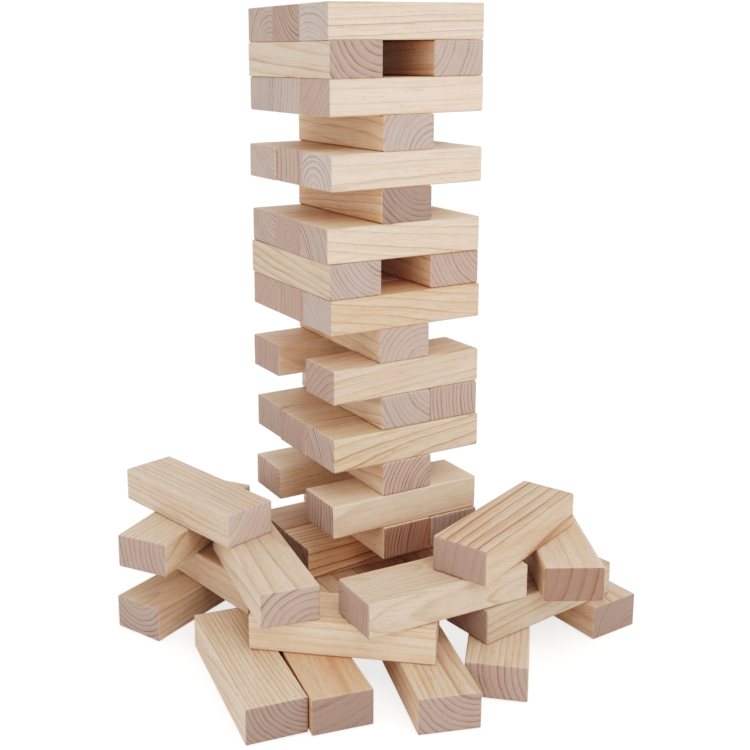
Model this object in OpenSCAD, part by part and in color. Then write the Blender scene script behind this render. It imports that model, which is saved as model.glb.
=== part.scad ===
// Giant tumbling tower: a garden game of pine blocks, shown part way through a round.
// The set is one block made over and over: eighteen rows of three when the tower is full.
// Here the players have drawn fifteen blocks out, and these lie heaped in front of the tower.
//
// Frame: the origin is the centre of the bottom row, on the ground. +Z is up, +X runs to the
// right along the rows that lie across, and +Y runs away to the back.
// Rows count from 1, at the ground, to 18. Odd rows lie along Y, even rows lie along X.

/* [Block] */
// Length of a block, three times the spacing of a row
block_l = 190.5; // [150:0.5:300]
// Width of a block, a little less than the spacing, so that it slides between its neighbours
block_w = 63; // [48:0.5:98]
// Height of a block, a little less than the spacing of the rows, so that it slides between them
block_h = 38; // [28:0.1:60]
// Flat worn along every edge and corner of a block
edge_flat = 1.4; // [0.5:0.1:4]

/* [Block heap, left] */
// Left heap, block on the ground: centre X, centre Y and turn
left_floor = [-199, 53, 26]; // [-400:0.5:400]
// Left heap, block that lies on it: centre X, centre Y and turn
left_second = [-176, 24, 101]; // [-400:0.5:400]
// Left heap, upper block that crosses it: centre X, centre Y and turn
left_upper = [-202, 61, 35.5]; // [-400:0.5:400]
// Left heap, upper block that reaches forward: centre X, centre Y and turn
left_span = [-173, -81, 81]; // [-400:0.5:400]
// Left heap, topmost block: centre X, centre Y and turn
left_top = [-199, 38, 105]; // [-400:0.5:400]

/* [Block heap, front] */
// Front heap, left block on the ground: centre X, centre Y and turn
front_floor_left = [-221.5, -142, 82]; // [-400:0.5:400]
// Front heap, middle block on the ground: centre X, centre Y and turn
front_floor_middle = [-156.5, -160, 80]; // [-400:0.5:400]
// Front heap, right block on the ground: centre X, centre Y and turn
front_floor_right = [-57, -213, 73]; // [-400:0.5:400]
// Front heap, block that bridges the three: centre X, centre Y and turn
front_bridge = [-123, -171, -38]; // [-400:0.5:400]
// Front heap, upper block between the front and right heaps: centre X, centre Y and turn
front_upper = [-40, -210, -1.5]; // [-400:0.5:400]

/* [Block heap, right] */
// Right heap, near block on the ground: centre X, centre Y and turn
right_floor_near = [48, -208.5, 50]; // [-400:0.5:400]
// Right heap, far block on the ground: centre X, centre Y and turn
right_floor_far = [176, -144, 94]; // [-400:0.5:400]
// Right heap, block that bridges the two: centre X, centre Y and turn
right_bridge = [91, -204, 7.5]; // [-400:0.5:400]
// Right heap, upper block: centre X, centre Y and turn
right_upper = [135, -189, 62.5]; // [-400:0.5:400]
// Right heap, topmost block: centre X, centre Y and turn
right_top = [60, -199, 22.5]; // [-400:0.5:400]

/* [Hidden] */
// Spacing of the blocks in a row
row_pitch = block_l / 3;
// Air between stacked blocks, because sawn faces meet only on their high spots
seat_gap = 0.1;
// Spacing of the rows, and of the layers of the heap
row_rise = block_h + seat_gap;

// How far play has shifted each row in X and in Y, and how far it has turned it, from row 1 up
row_nudge = [
    [0, 0, 0],          // row 1
    [2, -2, 0.4],       // row 2
    [0.5, -2.5, 0.4],   // row 3
    [0, -1.5, 0],       // row 4
    [0.5, -2, 0.2],     // row 5
    [1, -2, 0.2],       // row 6
    [0, -0.5, 0],       // row 7
    [0.5, 0, 0.9],      // row 8
    [-2, 1, -0.3],      // row 9
    [0.5, 0.5, -0.2],   // row 10
    [0, 2, -0.2],       // row 11
    [-0.5, 1, -1.4],    // row 12
    [-1, 1, 0],         // row 13
    [0, 0, 0.4],        // row 14
    [0, 0.5, 0.3],      // row 15
    [0, 0.5, -0.3],     // row 16
    [-0.5, 1, 0],       // row 17
    [-0.5, 1, -0.6]     // row 18
];

// Places in a row that lies along X
front = -1;
middle = 0;
back = 1;
// Places in a row that lies along Y
left = -1;
right = 1;

// Pine, from the palest board to the reddest
cream = [0.91, 0.83, 0.71];
straw = [0.88, 0.78, 0.62];
honey = [0.83, 0.69, 0.51];
rosy = [0.80, 0.67, 0.57];

// A rectangle about the origin with its four corners cut back by the worn flat
module eased_rectangle(across, up) {
    x = across / 2;
    y = up / 2;
    polygon([
        [x - edge_flat, -y], [x, edge_flat - y], [x, y - edge_flat], [x - edge_flat, y],
        [edge_flat - x, y], [-x, y - edge_flat], [-x, edge_flat - y], [edge_flat - x, -y]
    ]);
}

// One block, standing on Z = 0 and lying along X: the plan, the end and the side view,
// each drawn right through, meet in a brick whose every edge is eased
module block() {
    intersection() {
        linear_extrude(height = block_h)
            eased_rectangle(block_l, block_w);
        translate([-block_l / 2, 0, block_h / 2])
            rotate([90, 0, 90])
                linear_extrude(height = block_l)
                    eased_rectangle(block_w, block_h);
        translate([0, block_w / 2, block_h / 2])
            rotate([90, 0, 0])
                linear_extrude(height = block_w)
                    eased_rectangle(block_l, block_h);
    }
}

// A block in its row: its place across the row, and how far it sticks out along its length
module in_row(row, place, push = 0) {
    nudge = row_nudge[row - 1];
    lies_along_x = row % 2 == 0;
    translate([nudge.x, nudge.y, (row - 1) * row_rise])
        rotate(nudge.z + (lies_along_x ? 0 : 90))
            translate([push, (lies_along_x ? place : -place) * row_pitch, 0])
                block();
}

// A drawn block in the heap, lying flat with a number of layers of blocks under it
module in_heap(spot, layers_under) {
    translate([spot.x, spot.y, layers_under * row_rise])
        rotate(spot.z)
            block();
}

module row_01_left() color(straw) in_row(1, left);
module row_01_middle() color(honey) in_row(1, middle);
module row_01_right() color(straw) in_row(1, right);

module row_02_middle() color(honey) in_row(2, middle);
module row_02_back() color(honey) in_row(2, back, 1);

module row_03_middle() color(rosy) in_row(3, middle);
module row_03_right() color(straw) in_row(3, right, -1);

module row_04_front() color(straw) in_row(4, front);
module row_04_back() color(honey) in_row(4, back);

module row_05_middle() color(rosy) in_row(5, middle);

module row_06_front() color(straw) in_row(6, front);
module row_06_middle() color(straw) in_row(6, middle, -1);
module row_06_back() color(honey) in_row(6, back, 1.5);

module row_07_middle() color(honey) in_row(7, middle);
module row_07_right() color(straw) in_row(7, right, 1);

module row_08_front() color(straw) in_row(8, front);
module row_08_back() color(honey) in_row(8, back);

module row_09_middle() color(honey) in_row(9, middle);

module row_10_front() color(cream) in_row(10, front);
module row_10_middle() color(honey) in_row(10, middle, 1);
module row_10_back() color(rosy) in_row(10, back, 0.5);

module row_11_left() color(straw) in_row(11, left);
module row_11_right() color(rosy) in_row(11, right, 0.5);

module row_12_front() color(cream) in_row(12, front);
module row_12_middle() color(rosy) in_row(12, middle);
module row_12_back() color(honey) in_row(12, back, 1);

module row_13_middle() color(honey) in_row(13, middle);

module row_14_front() color(cream) in_row(14, front, -0.5);
module row_14_middle() color(straw) in_row(14, middle, 1.5);
module row_14_back() color(straw) in_row(14, back, -1);

module row_15_middle() color(honey) in_row(15, middle);

module row_16_front() color(cream) in_row(16, front);
module row_16_middle() color(straw) in_row(16, middle);
module row_16_back() color(rosy) in_row(16, back, 0.5);

module row_17_left() color(cream) in_row(17, left);
module row_17_right() color(rosy) in_row(17, right);

module row_18_front() color(cream) in_row(18, front);
module row_18_middle() color(rosy) in_row(18, middle);
module row_18_back() color(honey) in_row(18, back);

module loose_left_floor() color(honey) in_heap(left_floor, 0);
module loose_left_second() color(straw) in_heap(left_second, 1);
module loose_left_upper() color(straw) in_heap(left_upper, 2);
module loose_left_span() color(cream) in_heap(left_span, 2);
module loose_left_top() color(cream) in_heap(left_top, 3);

module loose_front_floor_left() color(straw) in_heap(front_floor_left, 0);
module loose_front_floor_middle() color(honey) in_heap(front_floor_middle, 0);
module loose_front_floor_right() color(straw) in_heap(front_floor_right, 0);
module loose_front_bridge() color(cream) in_heap(front_bridge, 1);
module loose_front_upper() color(cream) in_heap(front_upper, 2);

module loose_right_floor_near() color(straw) in_heap(right_floor_near, 0);
module loose_right_floor_far() color(honey) in_heap(right_floor_far, 0);
module loose_right_bridge() color(straw) in_heap(right_bridge, 1);
module loose_right_upper() color(cream) in_heap(right_upper, 2);
module loose_right_top() color(straw) in_heap(right_top, 3);

row_01_left();
row_01_middle();
row_01_right();
row_02_middle();
row_02_back();
row_03_middle();
row_03_right();
row_04_front();
row_04_back();
row_05_middle();
row_06_front();
row_06_middle();
row_06_back();
row_07_middle();
row_07_right();
row_08_front();
row_08_back();
row_09_middle();
row_10_front();
row_10_middle();
row_10_back();
row_11_left();
row_11_right();
row_12_front();
row_12_middle();
row_12_back();
row_13_middle();
row_14_front();
row_14_middle();
row_14_back();
row_15_middle();
row_16_front();
row_16_middle();
row_16_back();
row_17_left();
row_17_right();
row_18_front();
row_18_middle();
row_18_back();
loose_left_floor();
loose_left_second();
loose_left_upper();
loose_left_span();
loose_left_top();
loose_front_floor_left();
loose_front_floor_middle();
loose_front_floor_right();
loose_front_bridge();
loose_front_upper();
loose_right_floor_near();
loose_right_floor_far();
loose_right_bridge();
loose_right_upper();
loose_right_top();
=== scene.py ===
# %% [markdown]
# # A giant tumbling tower, finished in pine
# The set is fifty-four sawn blocks of pine. Thirty-nine still stand as a tower of crossed rows,
# and fifteen lie where the players dropped them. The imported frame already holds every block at
# its real size and place, so the work here is the wood itself: the eased edges, the growth
# rings, the end grain, and light soft enough to show them.

# %% Load the frame
from math import cos, radians, sin

import bpy
import numpy as np
from mathutils import Matrix, Vector


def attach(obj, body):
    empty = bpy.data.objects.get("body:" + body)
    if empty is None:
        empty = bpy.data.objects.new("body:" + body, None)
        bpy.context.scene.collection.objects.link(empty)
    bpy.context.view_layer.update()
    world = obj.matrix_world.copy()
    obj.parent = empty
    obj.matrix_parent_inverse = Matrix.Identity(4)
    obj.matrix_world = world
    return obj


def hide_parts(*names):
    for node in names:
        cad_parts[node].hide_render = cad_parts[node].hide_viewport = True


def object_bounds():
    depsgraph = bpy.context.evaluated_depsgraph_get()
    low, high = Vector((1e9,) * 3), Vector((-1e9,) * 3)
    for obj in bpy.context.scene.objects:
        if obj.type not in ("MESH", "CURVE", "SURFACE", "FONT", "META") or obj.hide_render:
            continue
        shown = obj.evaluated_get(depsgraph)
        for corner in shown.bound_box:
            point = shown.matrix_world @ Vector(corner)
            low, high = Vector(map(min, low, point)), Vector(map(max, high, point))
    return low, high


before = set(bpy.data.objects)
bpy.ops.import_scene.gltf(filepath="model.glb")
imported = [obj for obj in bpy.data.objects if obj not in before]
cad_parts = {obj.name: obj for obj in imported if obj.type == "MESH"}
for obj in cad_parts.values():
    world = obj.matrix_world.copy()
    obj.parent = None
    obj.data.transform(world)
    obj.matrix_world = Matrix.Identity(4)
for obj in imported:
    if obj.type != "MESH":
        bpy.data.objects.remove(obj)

cad_box = [list(corner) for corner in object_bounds()]
print("blocks in the frame:", len(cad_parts))
print("box of the frame in metres:", [[round(v, 4) for v in corner] for corner in cad_box])

# %% [markdown]
# ## Camera
# The camera stands to the left of the tower's front and a little below its top, looking
# down by about twelve degrees. It could be aimed with a Track To constraint, but three angles say
# more plainly how a tripod head is set: turn, tilt and roll. The picture is framed with lens shift
# and not by turning the head, so the tower's upright edges keep the lean they have from there.

# %% Camera
MM = 0.001
SENSOR, LENS = 36.0, 53.11
SHIFT_X, SHIFT_Y = 0.1089, -0.1223
TURN, TILT, ROLL = radians(-27.33), radians(11.94), radians(-0.65)
EYE = Vector((-0.6468, -1.0767, 0.6393))


def tripod_head(turn, tilt, roll):
    """Columns right, up and back: turn about Z, then tilt down, then roll about the lens."""
    back = Vector((sin(turn) * cos(tilt), -cos(turn) * cos(tilt), sin(tilt)))
    level = Vector((cos(turn), sin(turn), 0.0))
    upright = back.cross(level)
    right = cos(roll) * level + sin(roll) * upright
    up = cos(roll) * upright - sin(roll) * level
    return Matrix((right, up, back)).transposed()


camera_data = bpy.data.cameras.new("tripod_camera")
camera_data.sensor_width = SENSOR
camera_data.lens = LENS
camera_data.shift_x = SHIFT_X
camera_data.shift_y = SHIFT_Y
camera = bpy.data.objects.new("tripod_camera", camera_data)
camera.matrix_world = Matrix.Translation(EYE) @ tripod_head(TURN, TILT, ROLL).to_4x4()
bpy.context.scene.collection.objects.link(camera)
bpy.context.scene.camera = camera
print("camera stands", round(EYE.xy.length, 2), "m from the tower's middle")

# %% [markdown]
# ## Tones
# Film and cameras don't record light evenly: deep shade falls away quickly and bright parts
# crowd together. Pine shows this well, for its lit faces look pale while its shaded gaps glow
# brown. A tone curve in the view settings does the same. A ready-made filmic view would do it
# too, but it greys white paper, and this floor should stay white. Each point of the curve says
# how bright some amount of light comes out, and light above WHITE is pure white.

# %% Tones
TONES = [(0.06, 0.034), (0.14, 0.135), (0.25, 0.285), (0.40, 0.455), (0.60, 0.60), (0.90, 0.74),
         (1.05, 0.81)]
WHITE = 1.4

view = bpy.context.scene.view_settings
view.view_transform = "Standard"
view.use_curve_mapping = True
view.curve_mapping.clip_max_x = WHITE
film = view.curve_mapping.curves[3]
film.points[1].location = (WHITE, 1.0)
for light_in, tone_out in TONES:
    film.points.new(light_in, tone_out)
view.curve_mapping.update()
print("points on the tone curve:", len(film.points))

# %% [markdown]
# ## Light
# Pale wood needs a lot of soft light from all round, and one broad lamp to give the faces of a
# block three different tones. A ring of lamps could give the soft light, but a plain white world
# does it more evenly and with a single number. The lamp is one large panel, in front and above.

# %% Light
ROOM_COLOUR, ROOM_STRENGTH = (1.0, 0.995, 0.985, 1.0), 0.955
TOWER_MIDDLE = (0.0, 0.0, 0.5 * cad_box[1][2])
PANEL_PLACE, PANEL_SIZE, PANEL_WATTS = (0.0, -1.6, 1.8), 1.2, 15.6

world = bpy.data.worlds.new("white_studio")
world.use_nodes = True
room = world.node_tree.nodes["Background"]
room.inputs["Color"].default_value = ROOM_COLOUR
room.inputs["Strength"].default_value = ROOM_STRENGTH
bpy.context.scene.world = world


def panel_lamp(name, place, aim, size, watts):
    """A square area lamp at place, facing aim."""
    data = bpy.data.lights.new(name, "AREA")
    data.shape = "SQUARE"
    data.size = size
    data.energy = watts
    lamp = bpy.data.objects.new(name, data)
    facing = (Vector(aim) - Vector(place)).to_track_quat("-Z", "Y").to_matrix().to_4x4()
    lamp.matrix_world = Matrix.Translation(place) @ facing
    bpy.context.scene.collection.objects.link(lamp)
    return lamp


panel_lamp("front_panel", PANEL_PLACE, TOWER_MIDDLE, PANEL_SIZE, PANEL_WATTS)

# %% [markdown]
# ## Floor
# The floor is a plain pale sheet that curves up into a wall all round, as in a studio's cove, so
# that no horizon shows from any side. A large plane would be simpler, but its far edge would show.
# The sheet is a profile turned about Z, in metres: flat, then a quarter circle, then upright.

# %% Floor
FLAT, COVE, WALL = 3.2, 1.6, 2.4
BEND_STEPS, AROUND = 24, 96


def cove_grid():
    """Grid of rings: radius and height follow the profile, and each is turned once about Z."""
    bend = np.linspace(0, np.pi / 2, BEND_STEPS)
    radius = np.concatenate([[0.001, 1.0], FLAT + COVE * np.sin(bend), [FLAT + COVE]])
    height = np.concatenate([[0.0, 0.0], COVE * (1 - np.cos(bend)), [COVE + WALL]])
    turn = np.linspace(0, 2 * np.pi, AROUND, endpoint=False)
    x = radius[:, None] * np.cos(turn)
    y = radius[:, None] * np.sin(turn)
    return np.stack([x, y, np.repeat(height[:, None], AROUND, axis=1)], axis=-1)


def open_grid_mesh(name, points):
    """Quads between the rings of a grid that is closed round but open at both ends."""
    rings, around, _ = points.shape
    i = np.arange(rings - 1)[:, None]
    j = np.arange(around)[None, :]
    k = (j + 1) % around
    corners = [i * around + j, (i + 1) * around + j, (i + 1) * around + k, i * around + k]
    mesh = bpy.data.meshes.new(name)
    mesh.from_pydata(points.reshape(-1, 3).tolist(), [], np.stack(corners, -1).reshape(-1, 4).tolist())
    mesh.shade_smooth()
    return mesh


floor_mesh = open_grid_mesh("pale_floor", cove_grid())
floor = bpy.data.objects.new("pale_floor", floor_mesh)
bpy.context.scene.collection.objects.link(floor)
print("floor reaches", round(FLAT + COVE, 1), "m out, and its wall", round(COVE + WALL, 1), "m up")

# %% [markdown]
# ## Where each block lies
# Every block has a long axis, and wood grain runs along it, so each block needs its own small
# frame: u along the block and away from the camera, v to the left of u, and w straight up. These
# could be typed in again, but the frame already knows them: the middle of a block is the
# middle of its corners, and u is the direction in which the corners are spread most.

# %% Read each block's place
AWAY = Vector((-sin(TURN), cos(TURN), 0.0))


def block_frame(name):
    """Middle and u, v, w of a block: u is the main axis of its corners, level, away from the eye."""
    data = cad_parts[name].data
    flat = np.empty(len(data.vertices) * 3, np.float32)
    data.vertices.foreach_get("co", flat)
    corners = np.unique(flat.reshape(-1, 3).round(5), axis=0).astype(float)
    middle = 0.5 * (corners.min(axis=0) + corners.max(axis=0))
    spread = corners[:, :2] - corners[:, :2].mean(axis=0)
    u = np.linalg.eigh(spread.T @ spread)[1][:, -1]
    u = u if u @ np.array(AWAY.xy) > 0 else -u
    axes = np.array([[u[0], u[1], 0.0], [-u[1], u[0], 0.0], [0.0, 0.0, 1.0]])
    sizes = np.ptp(corners @ axes.T, axis=0)
    return middle, axes, sizes


place_of = {name: block_frame(name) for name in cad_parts}
lengths, widths, heights = np.array([sizes for _, _, sizes in place_of.values()]).T
print("block length", lengths.mean().round(4), "width", widths.mean().round(4),
      "height", heights.mean().round(4))

# %% [markdown]
# ## How a log becomes blocks
# A block is sawn out of a log, so its rings are circles about the pith, the log's centre, and the
# pith is usually somewhere outside the block. Where the pith lies decides everything that
# shows: arcs on the end, and on the sides either close straight stripes or a few wide ones. Image
# textures can't agree on two faces that meet, but a solid pattern worked out from the pith does
# it by itself. So each block is given its own piece of log, listed below:
#
# - pith: where the rings' centre is in v and w, in millimetres from the block's middle;
# - ring: how wide one year's growth is, in millimetres;
# - bold: how dark the late growth is on the ends, from 0 for none to 1 for strong;
# - lines: the same on the sides, where one very striped board goes up to about 2;
# - light: how pale the block is as a whole, where 1 is the usual pine; on some blocks it is also
#   painted light, paler where more light falls, and painted shade, darker where the block lies in
#   shade;
# - blush: from -1 for a yellow board to 1 for a pinkish one;
# - heart: how much of it is tan heartwood, where 0 is all creamy sapwood;
# - ends: how dark the end grain is, where 1 is usual; on some blocks it is also painted light and
#   painted shade on the end;
# - ash: the tint of the end grain, from -1 for reddish brown, over 0 for mauve, to 1 for grey.

# %% Each block's piece of log
LOGS = {
    # name: (pith v, pith w, ring, bold, lines, light, blush, heart, ends, ash)
    "row_18_front": (4, -62, 4.8, 0.45, 0.70, 1.04, -0.25, 0.05, 1.00, 1.00),
    "row_18_middle": (-36, 30, 5.5, 0.65, 0.50, 1.00, 0.40, 0.30, 1.15, 0.00),
    "row_18_back": (-22, -30, 5.5, 0.70, 0.50, 1.00, 0.20, 0.20, 1.05, 0.30),
    "row_17_left": (-34, 37, 7.5, 0.75, 0.50, 0.90, 0.10, 0.15, 1.07, 0.00),
    "row_17_right": (66, 22, 6.0, 0.45, 0.40, 1.02, 0.30, 0.45, 1.05, 0.30),
    "row_16_front": (70, 70, 8.0, 0.35, 0.28, 1.07, -0.25, 0.10, 1.15, 0.00),
    "row_16_middle": (120, 10, 7.5, 0.50, 0.40, 1.00, 0.20, 0.10, 1.00, 0.70),
    "row_16_back": (-150, 2, 4.0, 0.75, 0.40, 0.98, 0.30, 0.10, 1.05, 0.80),
    "row_15_middle": (-28, -30, 6.5, 0.60, 0.60, 1.10, 0.10, 0.45, 1.15, 0.50),
    "row_14_front": (0, -26, 7.5, 0.55, 0.42, 1.06, -0.15, 0.10, 0.95, 0.90),
    "row_14_middle": (75, 4, 11.0, 0.50, 0.50, 1.00, 0.10, 0.30, 1.00, 0.10),
    "row_14_back": (-45, 46, 5.5, 0.60, 0.50, 0.99, 0.30, 0.10, 1.00, 0.60),
    "row_13_middle": (-20, 44, 6.0, 0.55, 0.45, 1.04, 0.30, 0.50, 1.45, 0.00),
    "row_12_front": (92, -60, 5.0, 0.85, 0.62, 1.05, -0.30, 0.15, 1.05, 0.40),
    "row_12_middle": (2, 3, 6.0, 0.42, 0.50, 0.99, 0.40, 0.25, 1.10, 0.00),
    "row_12_back": (-40, 40, 5.0, 0.70, 0.50, 1.00, 0.20, 0.15, 1.05, 0.50),
    "row_11_left": (-48, 46, 4.8, 0.85, 1.00, 0.86, -0.20, 0.20, 0.87, 0.40),
    # painted light: this block is made paler so that its face inside the gap of row 11 looks lit, and
    # its ends number is raised to keep its end as dark as before
    "row_11_right": (-62, 42, 5.0, 0.65, 0.50, 1.12, 0.60, 0.15, 1.13, 0.00),
    "row_10_front": (58, -64, 6.0, 0.50, 0.66, 1.02, 0.10, 0.55, 1.05, 0.70),
    "row_10_middle": (120, 5, 8.0, 0.45, 0.40, 1.25, 0.50, 0.00, 1.31, 0.00),
    "row_10_back": (-60, -50, 6.0, 0.35, 0.40, 1.15, 0.40, 0.05, 1.23, 0.00),
    "row_09_middle": (-16, -30, 6.5, 0.45, 0.40, 1.00, 0.30, 0.30, 0.95, 0.20),
    "row_08_front": (-46, -52, 8.0, 0.50, 0.50, 0.95, 0.20, 0.25, 1.08, 0.00),
    "row_08_back": (150, 5, 5.0, 0.60, 0.50, 0.98, 0.30, 0.25, 1.10, 0.00),
    "row_07_middle": (-46, 36, 5.5, 0.45, 0.50, 0.98, 0.00, 0.15, 1.00, 0.50),
    "row_07_right": (-116, 18, 5.5, 0.85, 0.50, 0.97, 0.40, 0.20, 1.00, 0.30),
    "row_06_front": (86, -51, 4.5, 0.95, 0.85, 0.98, -0.30, 0.25, 0.97, 0.50),
    "row_06_middle": (-110, -20, 5.0, 0.60, 0.70, 0.97, 0.10, 0.25, 1.05, 0.00),
    "row_06_back": (90, 12, 8.0, 0.40, 0.50, 0.97, 0.20, 0.25, 1.10, 0.30),
    "row_05_middle": (-49, -29, 5.2, 0.90, 0.50, 1.06, 0.20, 0.30, 0.85, 0.00),
    "row_04_front": (84, 10, 6.5, 0.80, 0.26, 1.11, 0.10, 0.12, 1.10, 0.00),
    "row_04_back": (-36, 10, 5.5, 0.80, 0.30, 1.08, 0.20, 0.12, 0.72, 0.20),
    # painted light and painted shade: this block low in the tower is made paler, with a darker, redder
    # end
    "row_03_middle": (-150, -26, 4.5, 0.85, 0.70, 1.40, 0.20, 0.22, 1.45, -0.45),
    "row_03_right": (140, 10, 7.0, 0.40, 0.50, 0.95, 0.20, 0.30, 1.10, 0.60),
    # painted light: this block low in the tower is made paler to lighten the deep shade on its front
    "row_02_middle": (90, -80, 5.5, 0.80, 1.00, 1.24, 0.10, 0.35, 1.20, 0.00),
    "row_02_back": (60, -80, 8.0, 0.40, 0.30, 0.90, 0.00, 0.35, 1.10, 0.20),
    "loose_left_top": (80, 78, 7.0, 0.35, 0.60, 0.95, 0.30, 0.10, 0.57, 0.50),
    "loose_left_upper": (-110, 20, 6.5, 0.65, 0.65, 1.00, 0.00, 0.15, 1.10, 0.20),
    # painted shade: this block is made darker so that its side under the blocks above it looks shaded,
    # with a lower ends number to keep its end as light as before
    "loose_left_floor": (-6, 46, 6.0, 0.75, 0.50, 0.84, 0.20, 0.35, 0.90, 0.40),
    "loose_left_second": (90, 80, 9.0, 0.30, 0.25, 0.92, 0.10, 0.25, 1.00, 0.00),
    "loose_left_span": (-30, -32, 8.5, 0.80, 0.56, 1.02, 0.00, 0.15, 0.99, 0.30),
    "loose_front_bridge": (70, 84, 8.5, 0.50, 0.42, 1.20, 0.00, 0.35, 1.00, 0.00),
    "loose_front_floor_left": (-38, 28, 5.0, 0.65, 0.75, 1.05, 0.00, 0.20, 1.34, 0.00),
    "loose_front_floor_middle": (40, 120, 9.0, 0.25, 0.22, 1.00, 0.40, 0.50, 1.38, 0.00),
    "loose_front_floor_right": (-34, 40, 6.0, 0.55, 0.66, 1.00, 0.00, 0.28, 1.15, 0.20),
    "loose_front_upper": (12, -6, 5.0, 0.50, 0.34, 0.93, 0.10, 0.25, 0.95, 0.10),
    "loose_right_floor_near": (-90, 24, 6.5, 0.65, 0.50, 1.03, 0.00, 0.18, 1.05, 0.00),
    # painted shade: this block is made darker so that its left side, under the blocks above it, looks
    # shaded
    "loose_right_floor_far": (-30, -25, 6.0, 0.35, 0.70, 0.91, 0.20, 0.35, 1.24, 0.00),
    # painted shade: this block is made darker, with a lower ends number to keep its end as light as
    # before
    "loose_right_bridge": (60, -90, 6.0, 0.25, 0.55, 0.79, 0.00, 0.20, 0.71, 0.00),
    "loose_right_upper": (100, 25, 14.0, 0.45, 0.32, 1.02, 0.20, 0.25, 1.38, -0.45),
    "loose_right_top": (-150, -30, 11.0, 0.15, 1.90, 0.96, 0.30, 0.40, 1.15, 0.00),
}


def any_log(seed):
    """A piece of log for a block that hardly shows: pith = distance * (cos, sin) of a bearing, both
    drawn by lot, and the rest drawn by lot within the usual limits."""
    draw = np.random.default_rng(seed)
    bearing = draw.uniform(0, 2 * np.pi)
    far = draw.uniform(35, 110)
    ring = draw.uniform(4.5, 9)
    bold, lines = draw.uniform(0.4, 0.8), draw.uniform(0.4, 0.7)
    light, blush, heart = draw.uniform(0.98, 1.05), draw.uniform(-0.3, 0.3), draw.uniform(0.05, 0.35)
    ends, ash = draw.uniform(0.9, 1.1), 0.2
    pith_v, pith_w = far * np.cos(bearing), far * np.sin(bearing)
    return (pith_v, pith_w, ring, bold, lines, light, blush, heart, ends, ash)


log_of = {name: LOGS.get(name) or any_log(i) for i, name in enumerate(sorted(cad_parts))}
print("logs chosen by eye:", len(LOGS), "drawn by lot:", len(log_of) - len(LOGS))

# %% [markdown]
# ## The shape of one block
# The blocks are planed, cut to length and tumbled or sanded so that no edge is sharp. A cube with
# a Bevel modifier comes close, but every block would then be the same. Here the surface is a
# rounded rectangle carried along the block. The rounding differs a little from block to block,
# and goes on round the ends, so that the corners are small parts of a ball.

# %% One block as a grid of points
EASE = (1.3, 2.4)          # least and greatest rounding, mm
WORN, DIPPED = 0.16 * MM, 0.03 * MM
CORNER_STEPS, SIDE_STEPS = 5, 25
# shares of the way along a face, close together near its edges so that the shading stays flat
ACROSS = np.array([0.012, 0.2, 0.4, 0.6, 0.8, 0.988])
END_RINGS = np.array([0.0, 0.25, 0.5, 0.75, 0.97, 1.0])
ALONG = np.concatenate([[0.004], np.linspace(0, 1, SIDE_STEPS)[1:-1], [0.996]])


def eased_section():
    """Core corner and outward direction, once round: on a corner the direction turns through a
    quarter circle while the core stays put, and on a run the core moves while the direction stays."""
    quarter = np.linspace(0, np.pi / 2, CORNER_STEPS)
    core, outward = [], []
    signs = np.array([(1, 1), (-1, 1), (-1, -1), (1, -1)], float)
    for k in range(4):
        turning = quarter + k * np.pi / 2
        core.append(np.repeat(signs[k:k + 1], CORNER_STEPS, axis=0))
        outward.append(np.stack([np.cos(turning), np.sin(turning)], axis=1))
        there = signs[(k + 1) % 4] - signs[k]
        core.append(signs[k] + ACROSS[:, None] * there)
        outward.append(np.repeat(outward[-1][-1:], len(ACROSS), axis=0))
    return np.concatenate(core), np.concatenate(outward)


def eased_stations(length, ease):
    """Place along the block, opening of the core and share of the rounding, from end to end: the
    core opens out over the end face, then the edge is a quarter circle, then the side runs straight."""
    bend = np.linspace(0, np.pi / 2, CORNER_STEPS)[1:]
    face = np.stack([np.full(len(END_RINGS), -0.5 * length), END_RINGS, 0 * END_RINGS])
    edge = np.stack([ease * (1 - np.cos(bend)) - 0.5 * length, np.ones(len(bend)), np.sin(bend)])
    inner = 0.5 * length - ease
    side = np.stack([-inner + 2 * inner * ALONG, np.ones(len(ALONG)), np.ones(len(ALONG))])
    near = np.concatenate([face, edge], axis=1)
    far = near[:, ::-1] * np.array([[-1.0], [1.0], [1.0]])
    return np.concatenate([near, side, far], axis=1)


def block_grid(sizes, seed):
    """Points of the block about its middle and how much each faces an end.

    point = (place along, opening * core + rounding * ease * direction), less a hollow of some
    tenths of a millimetre where wear takes the edges, and of hundredths where the plane dipped."""
    draw = np.random.default_rng(seed)
    length, width, height = sizes
    ease = draw.uniform(*EASE) * MM
    core, outward = eased_section()
    along, opening, rounding = eased_stations(length, ease)
    half = np.array([0.5 * width - ease, 0.5 * height - ease])
    across = opening[:, None, None] * core * half + (rounding * ease)[:, None, None] * outward
    x = np.repeat(along[:, None], len(core), axis=1)
    on_edge = rounding[:, None] * 2 * np.abs(outward[:, 0] * outward[:, 1])
    waves = sum(
        np.sin(x * draw.uniform(20, 140) + draw.uniform(0, 6) + across[..., 0] * draw.uniform(-90, 90))
        for _ in range(4)
    )
    worn = WORN * on_edge * (1.0 + 0.25 * waves)
    dipped = DIPPED * rounding[:, None] * (1 - on_edge) * (1.0 + 0.25 * waves)
    across -= (worn + dipped)[..., None] * outward
    return np.concatenate([x[..., None], across], axis=2), 1 - rounding


trial, _ = block_grid(place_of["row_01_middle"][2], 0)
print("grid of one block:", trial.shape[0], "rings of", trial.shape[1], "points")

# %% [markdown]
# ## From points to a closed mesh
# The grid still needs its faces. A hull would find them by itself, but it would fill the slight
# hollows, so the faces are counted out: quads between rings, and a fan of triangles round the
# middle of each end. A closed mesh whose faces all point outwards has a positive volume,
# which makes a quick test of both.

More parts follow.
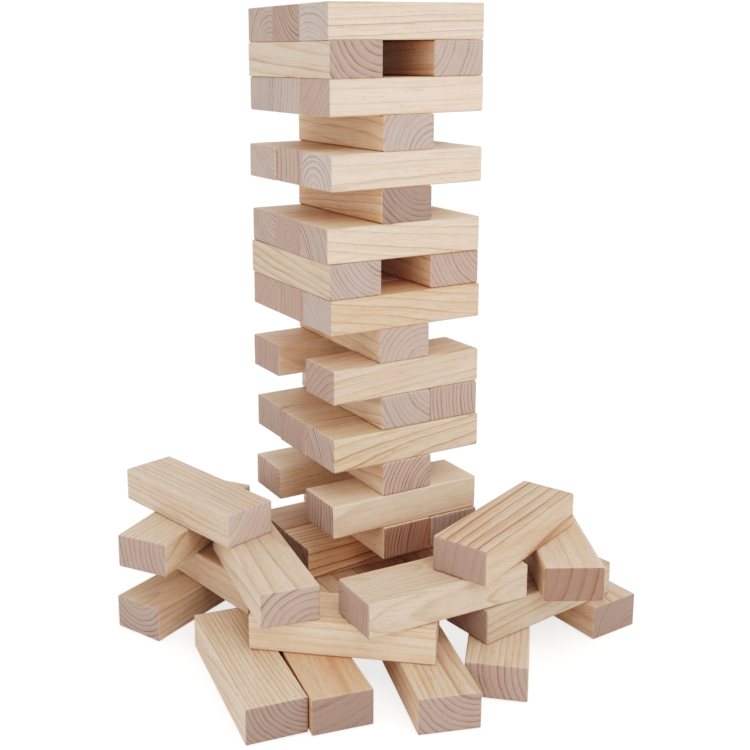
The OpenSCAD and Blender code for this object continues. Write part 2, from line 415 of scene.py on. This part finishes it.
# %% Mesh from a grid
def grid_mesh(name, points):
    """A closed mesh from a grid of rings: quads between rings, and a fan round each end's middle."""
    rings, around, _ = points.shape
    inner = points[1:-1].reshape(-1, 3)
    verts = np.concatenate([points[:1, 0], inner, points[-1:, 0]])
    i = np.arange(rings - 3)[:, None]
    j = np.arange(around)[None, :]
    k = (j + 1) % around
    corner = 1 + i * around + j
    beside = 1 + i * around + k
    quads = np.stack([corner, beside, beside + around, corner + around], axis=-1).reshape(-1, 4)
    last = 1 + (rings - 3) * around
    ring = np.arange(around)
    after = (ring + 1) % around
    near = np.stack([np.zeros_like(ring), 1 + after, 1 + ring], axis=1)
    far = np.stack([np.full_like(ring, len(verts) - 1), last + ring, last + after], axis=1)
    mesh = bpy.data.meshes.new(name)
    mesh.from_pydata(verts.tolist(), [], near.tolist() + quads.tolist() + far.tolist())
    mesh.shade_smooth()
    return mesh


def enclosed(mesh):
    """Signed volume in cubic metres: a sixth of the sum of a . (b x c), positive if faces face out."""
    mesh.calc_loop_triangles()
    tri = np.empty(len(mesh.loop_triangles) * 3, np.int32)
    mesh.loop_triangles.foreach_get("vertices", tri)
    co = np.empty(len(mesh.vertices) * 3, np.float32)
    mesh.vertices.foreach_get("co", co)
    a, b, c = co.reshape(-1, 3).astype(float)[tri.reshape(-1, 3)].transpose(1, 0, 2)
    return float((a * np.cross(b, c)).sum() / 6)


trial_mesh = grid_mesh("trial_block", trial)
print("one block:", len(trial_mesh.vertices), "points,", round(enclosed(trial_mesh) * 1e6, 1), "cm3")
bpy.data.meshes.remove(trial_mesh)

# %% [markdown]
# ## A short way to write shader sums
# A wood pattern is mostly arithmetic: a distance, a remainder, a blend. Wiring that by hand hides
# the sum in a tangle of nodes. One small class lets an ordinary expression lay the Math
# nodes, so the finish below reads like the formula that it is.

# %% Shader sums
class Wire:
    """An output socket that can stand in a sum, where each sign adds a Math node."""

    def __init__(self, tree, socket=None):
        self.tree = tree
        self.socket = socket

    def node(self, kind, settings=None, sockets=None, out=0):
        """Any kind of node: its settings first, then a value or a link for each socket named."""
        made = self.tree.nodes.new(kind)
        for key, value in (settings or {}).items():
            setattr(made, key, value)
        for key, value in (sockets or {}).items():
            if isinstance(value, Wire):
                self.tree.links.new(value.socket, made.inputs[key])
            else:
                made.inputs[key].default_value = value
        return Wire(self.tree, made.outputs[out])

    def maths(self, operation, *terms):
        """A Math node with these terms, in order."""
        return self.node("ShaderNodeMath", {"operation": operation}, dict(enumerate(terms)))

    def __add__(self, other):
        return self.maths("ADD", self, other)

    def __sub__(self, other):
        return self.maths("SUBTRACT", self, other)

    def __rsub__(self, other):
        return self.maths("SUBTRACT", other, self)

    def __mul__(self, other):
        return self.maths("MULTIPLY", self, other)

    def __truediv__(self, other):
        return self.maths("DIVIDE", self, other)

    __radd__ = __add__
    __rmul__ = __mul__

    def attribute(self, name, out=1):
        """What the mesh stores under that name: a vector, or a plain number where out is 2."""
        return self.node("ShaderNodeAttribute", {"attribute_name": name}, out=out)

    def parts(self):
        """The three parts of this vector, each as a wire of its own."""
        split = self.node("ShaderNodeSeparateXYZ", None, {0: self})
        return [Wire(self.tree, socket) for socket in split.socket.node.outputs]

    def vector(self, *parts):
        """A vector from up to three parts, where a part that is left out is 0."""
        return self.node("ShaderNodeCombineXYZ", None, dict(enumerate(parts)))

    def vector_maths(self, operation, *terms, out=0):
        """A Vector Math node with these terms, in order. A length comes from its output 1."""
        return self.node("ShaderNodeVectorMath", {"operation": operation}, dict(enumerate(terms)), out)

    def ramp(self, low, high):
        """0 below low, 1 above high, and a smooth step between."""
        limits = {"Value": self, "From Min": low, "From Max": high}
        return self.node("ShaderNodeMapRange", {"interpolation_type": "SMOOTHSTEP"}, limits)

    def stretched(self, x, y, z):
        """This vector with each of its parts scaled on its own."""
        return self.vector_maths("MULTIPLY", self, (x, y, z))

    def noise(self, detail=2.0, roughness=0.5):
        """Soft noise about 0, roughly from -0.5 to 0.5, at this place."""
        sockets = {"Vector": self, "Scale": 1.0, "Detail": detail, "Roughness": roughness}
        return self.node("ShaderNodeTexNoise", None, sockets) - 0.5

    def blend(self, first, second):
        """A colour mixed from first to second by this share: a Mix node's sockets 6, 7 and output 2."""
        settings = {"data_type": "RGBA", "clamp_factor": True}
        return self.node("ShaderNodeMix", settings, {0: self, 6: first, 7: second}, out=2)

    def tinted(self, colour, share):
        """This colour multiplied by another one, as far as share says."""
        settings = {"data_type": "RGBA", "blend_type": "MULTIPLY", "clamp_factor": True}
        return self.node("ShaderNodeMix", settings, {0: share, 6: self, 7: colour}, out=2)


def srgb(red, green, blue):
    """A colour as seen on a screen, turned into the light values that a shader adds up."""
    seen = np.array([red, green, blue])
    light = np.where(seen <= 0.04045, seen / 12.92, ((seen + 0.055) / 1.055) ** 2.4)
    return (*light.tolist(), 1.0)


print("screen grey 0.5 is", round(srgb(0.5, 0.5, 0.5)[0], 3), "in light")

# %% [markdown]
# ## The colours of pine
# Sanded pine has no one colour. Its sapwood is cream and its heartwood tan. The wood that grows
# late in a year is a thin brown line with a soft honey-coloured side. On the ends the
# cut fibres drink in light, so the same wood turns mauve or grey, with darker rings. A single
# brown could be made lighter and darker, but it would look like plastic. The last three
# colours are tints: they are multiplied over the others, so their red stays at 1.

# %% Pine colours
CREAM = srgb(0.828, 0.731, 0.645)
TAN = srgb(0.765, 0.565, 0.425)
LATE_SIDE = srgb(0.560, 0.412, 0.325)
HONEY = srgb(0.690, 0.515, 0.335)
MAUVE = srgb(0.655, 0.555, 0.508)
ASH = srgb(0.680, 0.612, 0.578)
LATE_END = srgb(0.385, 0.295, 0.262)
EMBER = srgb(1.0, 0.860, 0.760)
BUTTER = srgb(1.0, 0.955, 0.875)
PINK = srgb(1.0, 0.930, 0.905)

print("late wood keeps", round(LATE_SIDE[0] / CREAM[0], 2), "of the red light that cream throws back")

# %% [markdown]
# ## A year's growth
# A year's growth starts pale and soft and ends in a hard dark line with an abrupt outer
# edge. Read outwards from the pith that is a saw-tooth in the distance. Blender's Wave texture has
# a saw-tooth too, but its rings are all alike, and a tree has wide and narrow years and faint and
# bold ones. So the distance is pushed about by slow noise, and every year draws a number by lot.

# %% Growth rings
# how fine each noise is, in cycles a metre: along the block, and then twice across it
BEND, WAVER, FADE = (5.0, 18.0, 18.0), (22.0, 90.0, 90.0), (9.0, 60.0, 60.0)
BEND_BY, WAVER_BY = 0.007, 0.0016


def growth(wood, spot, ring_width, lot):
    """Share of its year that has passed where this wood grew, and the number that the year drew.

    years = (distance from the pith + two pushes) / ring width, made uneven by noise along itself:
    the share is the fraction of years, and the number is white noise at the whole part."""
    distance = wood.vector_maths("LENGTH", wood.stretched(0.0, 1.0, 1.0), out=1)
    push = spot.stretched(*BEND).noise(1.0) * BEND_BY
    push = push + spot.stretched(*WAVER).noise(2.0) * WAVER_BY
    years = (distance + push) / ring_width + lot * 7.0
    uneven = years.vector(years * 0.75, lot * 11.0).noise(1.0)
    years = years + uneven * 1.2
    whole = years.maths("FLOOR", years)
    year_tag = whole.vector(whole, lot)
    drawn = whole.node("ShaderNodeTexWhiteNoise", {"noise_dimensions": "3D"}, {"Vector": year_tag})
    return years - whole, drawn


def late_wood(spot, grown, drawn, bold, lines):
    """Darkness of the late wood: hard line on the sides, soft veil on the sides, rings on the ends.
    The two numbers of each rise are shares of the year.

    line, twin and broad = a rise in the year times one minus a steeper rise; veil = the square of
    the year's share; each is scaled by the number that the year drew and by noise that fades it."""
    line = grown.ramp(0.73, 0.93) * (1.0 - grown.ramp(0.955, 1.0))
    twin = grown.ramp(0.46, 0.56) * (1.0 - grown.ramp(0.57, 0.62)) * drawn.ramp(0.35, 0.7)
    veil = grown * grown * (1.0 - grown.ramp(0.95, 1.0))
    broad = grown.ramp(0.62, 0.90) * (1.0 - grown.ramp(0.95, 1.0))
    faded = spot.stretched(*FADE).noise(1.0).ramp(-0.3, 0.15)
    strong = (0.25 + drawn * 0.95) * (0.4 + faded * 0.6)
    hard = (line * 0.95 + twin * 0.4) * strong * lines
    soft = (strong * (1.0 - drawn * 0.6) + 0.1) * veil * lines.maths("MINIMUM", lines, 1.0)
    rings = ((broad + twin * 0.45) * strong + veil * 0.16) * bold
    return hard, soft, rings


print("rings wander by up to", round(500 * (BEND_BY + WAVER_BY), 1), "mm")

# %% [markdown]
# ## Sides and ends
# Along the block the saw cuts the fibres lengthwise and on the ends across, so the two
# take the same rings in different colours. They could be two materials with a seam between them,
# but the wood runs on round the edge, so both are worked out everywhere and mixed by facing. Fine
# fibre and pore flecks lie over them, and broad clouds drift from butter to pink.

# %% Colours of a side and of an end
def side_colour(hard, soft, heart, blush, fibre, flecks, cloud, stain):
    """Cream to tan by heartwood, to honey by veil, to brown by line, then fibre, flecks and tints."""
    tan_share = (heart + stain * 0.7 + cloud * 0.3).ramp(0.0, 1.0)
    side = hard.blend(soft.blend(tan_share.blend(CREAM, TAN), HONEY), LATE_SIDE)
    side = (fibre.ramp(-0.15, 0.3) * 0.28 + flecks * 0.34).blend(side, LATE_SIDE)
    side = side.tinted(BUTTER, (blush * -1.0 - cloud * 1.2).ramp(0.0, 1.0))
    return side.tinted(PINK, (blush + cloud * 1.2).ramp(0.0, 1.0))


def end_colour(rings, ash, blush, fibre, flecks, cloud):
    """Mauve to grey by ash, darker by ring, fibre and flecks, then tinted pink or ember."""
    end = rings.blend((ash + cloud).blend(MAUVE, ASH), LATE_END)
    end = (fibre.ramp(-0.05, 0.4) * 0.22 + flecks * 0.2).blend(end, LATE_END)
    end = end.tinted(PINK, (blush * 0.5 + cloud * 1.6).ramp(0.0, 1.0) * (1.0 - ash))
    return end.tinted(EMBER, ash * -1.0)


print("red light of grey, mauve and ring on an end:", [round(c[0], 2) for c in (ASH, MAUVE, LATE_END)])

# %% [markdown]
# ## The whole finish
# One material serves all the blocks. It could be made once for each block, with that block's
# numbers in it, but then any change would have to be made over and over. Instead each
# block carries its own numbers as attributes, and the material reads them. The wood is sanded but
# bare, so it is fairly rough, a little smoother on the hard lines and rougher on the ends.

# %% Pine finish
FIBRE, FLECK = (24.0, 480.0, 480.0), (130.0, 900.0, 900.0)
CLOUD, STAIN = (6.0, 42.0, 42.0), (3.0, 90.0, 90.0)
APART = (3.1, 1.7, 0.9)    # metres between blocks whose lots differ by 1
RELIEF, RELIEF_SHARE = 0.4 * MM, 0.35
GLOSS = 0.35


def pine():
    """Colour = side and end mixed by facing, times the block's lightness (on some blocks also painted
    light and painted shade), over grain relief.
    """
    material = bpy.data.materials.new("sanded_pine")
    material.use_nodes = True
    tree = material.node_tree
    tree.nodes.clear()
    bench = Wire(tree)

    wood = bench.attribute("from_pith")
    ring_width, bold, lot = bench.attribute("rings").parts()
    light, blush, ends = bench.attribute("tone").parts()
    lines, ash, heart = bench.attribute("kind").parts()
    end_grain = bench.attribute("facing", out=2).ramp(0.05, 0.45)

    # the place in the log, moved well apart for each block so that no two share their noise
    spot = wood.vector_maths("ADD", wood, wood.vector(*(lot * step for step in APART)))
    grown, drawn = growth(wood, spot, ring_width, lot)
    hard, soft, rings = late_wood(spot, grown, drawn, bold, lines)
    fibre = spot.stretched(*FIBRE).noise(3.0, 0.65)
    flecks = spot.stretched(*FLECK).noise(2.0).ramp(0.04, 0.26)
    cloud = spot.stretched(*CLOUD).noise(2.0)
    stain = spot.stretched(*STAIN).noise(1.0)

    side = side_colour(hard, soft, heart, blush, fibre, flecks, cloud, stain)
    end = end_colour(rings, ash, blush, fibre, flecks, cloud)
    # light and ends are the block's paleness and how much darker its end grain is; on some blocks they
    # also carry painted light and painted shade
    shade = light * (1.0 + end_grain * (1.0 - ends) * 0.8)
    timber = end_grain.blend(side, end)
    timber = timber.vector_maths("MULTIPLY", timber, timber.vector(shade, shade, shade))
    relief = (hard + soft) * -0.5 + fibre * 0.35 - flecks * 0.3
    rough = 0.62 + fibre * 0.1 + end_grain * 0.2 - hard * 0.08

    bump_sockets = {"Strength": RELIEF_SHARE, "Distance": RELIEF, "Height": relief}
    bump = bench.node("ShaderNodeBump", None, bump_sockets)
    skin_sockets = {"Base Color": timber, "Roughness": rough, "Normal": bump}
    skin = bench.node("ShaderNodeBsdfPrincipled", None, skin_sockets | {"Specular IOR Level": GLOSS})
    tree.links.new(skin.socket, tree.nodes.new("ShaderNodeOutputMaterial").inputs["Surface"])
    return material


sanded_pine = pine()
print("pine finish:", len(sanded_pine.node_tree.nodes), "nodes")

# %% [markdown]
# ## Cutting the blocks
# Each block now takes its shape, its place and its piece of log. The log is written into the mesh
# as attributes: every point's place as seen from the pith, the ring width and boldness, the
# tones, and how far the point faces an end. The place could be read from Object coordinates, but
# those know nothing of which way a block is turned. Across a face an attribute runs in a straight
# line from corner to corner, and so does the place seen from the pith, so nothing is lost.

# %% Cut and place every block
LEAN = 0.08                # most that the pith wanders sideways, as a share of the way along
LOT_SEED, LOT_SPREAD = 1000, 10


def pour(mesh, name, values):
    """Writes one vector per point into the mesh under that name."""
    layer = mesh.attributes.new(name, "FLOAT_VECTOR", "POINT")
    layer.data.foreach_set("vector", np.ascontiguousarray(values, np.float32).ravel())


def cut_block(name, seed):
    """A block at its place: middle + u, v and w of its own frame, with its log in attributes."""
    middle, axes, sizes = place_of[name]
    points, facing = block_grid(sizes, seed)
    mesh = grid_mesh(name + "_block", points)
    local = np.empty(len(mesh.vertices) * 3, np.float32)
    mesh.vertices.foreach_get("co", local)
    local = local.reshape(-1, 3).astype(float)
    pith_v, pith_w, ring, bold, lines, light, blush, heart, ends, ash = log_of[name]
    draw = np.random.default_rng(LOT_SEED + seed)
    lean = draw.uniform(-LEAN, LEAN, 2)
    pith = np.array([pith_v, pith_w]) * MM + local[:, :1] * lean
    from_pith = np.column_stack([local[:, 0], local[:, 1:] - pith])
    rows = np.ones((len(local), 1))
    around = points.shape[1]
    facing = np.concatenate([facing[:1], np.repeat(facing[1:-1], around), facing[-1:]])
    pour(mesh, "from_pith", from_pith)
    pour(mesh, "rings", rows * [ring * MM, bold, draw.uniform(0, LOT_SPREAD)])
    # light and ends, the block's paleness and end darkness, also carry painted light and painted shade
    # on some blocks
    pour(mesh, "tone", rows * [light, blush, ends])
    pour(mesh, "kind", rows * [lines, ash, heart])
    mesh.attributes.new("facing", "FLOAT", "POINT").data.foreach_set("value", facing.astype(np.float32))
    mesh.vertices.foreach_set("co", (local @ axes + middle).astype(np.float32).ravel())
    mesh.update()
    mesh.materials.append(sanded_pine)
    piece = bpy.data.objects.new(name + "_block", mesh)
    bpy.context.scene.collection.objects.link(piece)
    return piece


blocks = {}
for seed, name in enumerate(sorted(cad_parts)):
    blocks[name] = cut_block(name, seed)
    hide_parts(name)
    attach(blocks[name], name)
print("blocks cut:", len(blocks), "least volume in cm3:",
      round(min(enclosed(piece.data) for piece in blocks.values()) * 1e6, 1))

# %% [markdown]
# ## The floor's finish
# The floor is a plain pale sheet with a trace of mottle. In a white studio the sheet has lamps of
# its own, which make it pure white to the lens while the object takes softer light. Lamps that
# miss the object would take long to place, so the sheet glows instead, and the Light Path node
# tells two uses of it apart. To the lens it is white. What it throws back on the blocks is less,
# and least under and near them, where they shade the sheet from the room.

# %% Floor finish
PAPER, PAPER_SEEN, PAPER_MOTTLED = 0.84, 0.46, 0.48
GLOW_SEEN, GLOW_OPEN, GLOW_SHADED = 0.95, 0.335, 0.12
STAND = (*(0.5 * np.add(cad_box[0], cad_box[1])[:2]).tolist(), 0.0)
SHADED_WITHIN, OPEN_BEYOND = 0.22, 0.62    # metres from STAND, the middle of the ground they cover
MOTTLE = (2.0, 2.0, 2.0)


def grey(strength):
    """A neutral colour, as an amount of light."""
    return (strength, strength, strength, 1.0)


def pale_sheet():
    """Near-white with a slow mottle: to the lens a steady glow, to the blocks one that grows from
    shaded to open with the distance from STAND."""
    material = bpy.data.materials.new("pale_sheet")
    material.use_nodes = True
    bench = Wire(material.node_tree)
    skin = material.node_tree.nodes["Principled BSDF"]
    # output 0 of Light Path is 1 for what the lens sees, and output 3 of the next is Object
    seen = bench.node("ShaderNodeLightPath", out=0)
    spot = bench.node("ShaderNodeTexCoord", out=3)
    mottle = spot.stretched(*MOTTLE).noise(1.0).ramp(-0.4, 0.4)
    colour = seen.blend(grey(PAPER), mottle.blend(grey(PAPER_SEEN), grey(PAPER_MOTTLED)))
    clear = spot.vector_maths("DISTANCE", spot, STAND, out=1).ramp(SHADED_WITHIN, OPEN_BEYOND)
    glow = seen.blend(clear.blend(grey(GLOW_SHADED), grey(GLOW_OPEN)), grey(GLOW_SEEN))
    bench.tree.links.new(colour.socket, skin.inputs["Base Color"])
    bench.tree.links.new(glow.socket, skin.inputs["Emission Color"])
    skin.inputs["Roughness"].default_value = 0.9
    skin.inputs["Emission Strength"].default_value = 1.0
    return material


floor_mesh.materials.append(pale_sheet())
print("floor finish:", floor_mesh.materials[0].name)
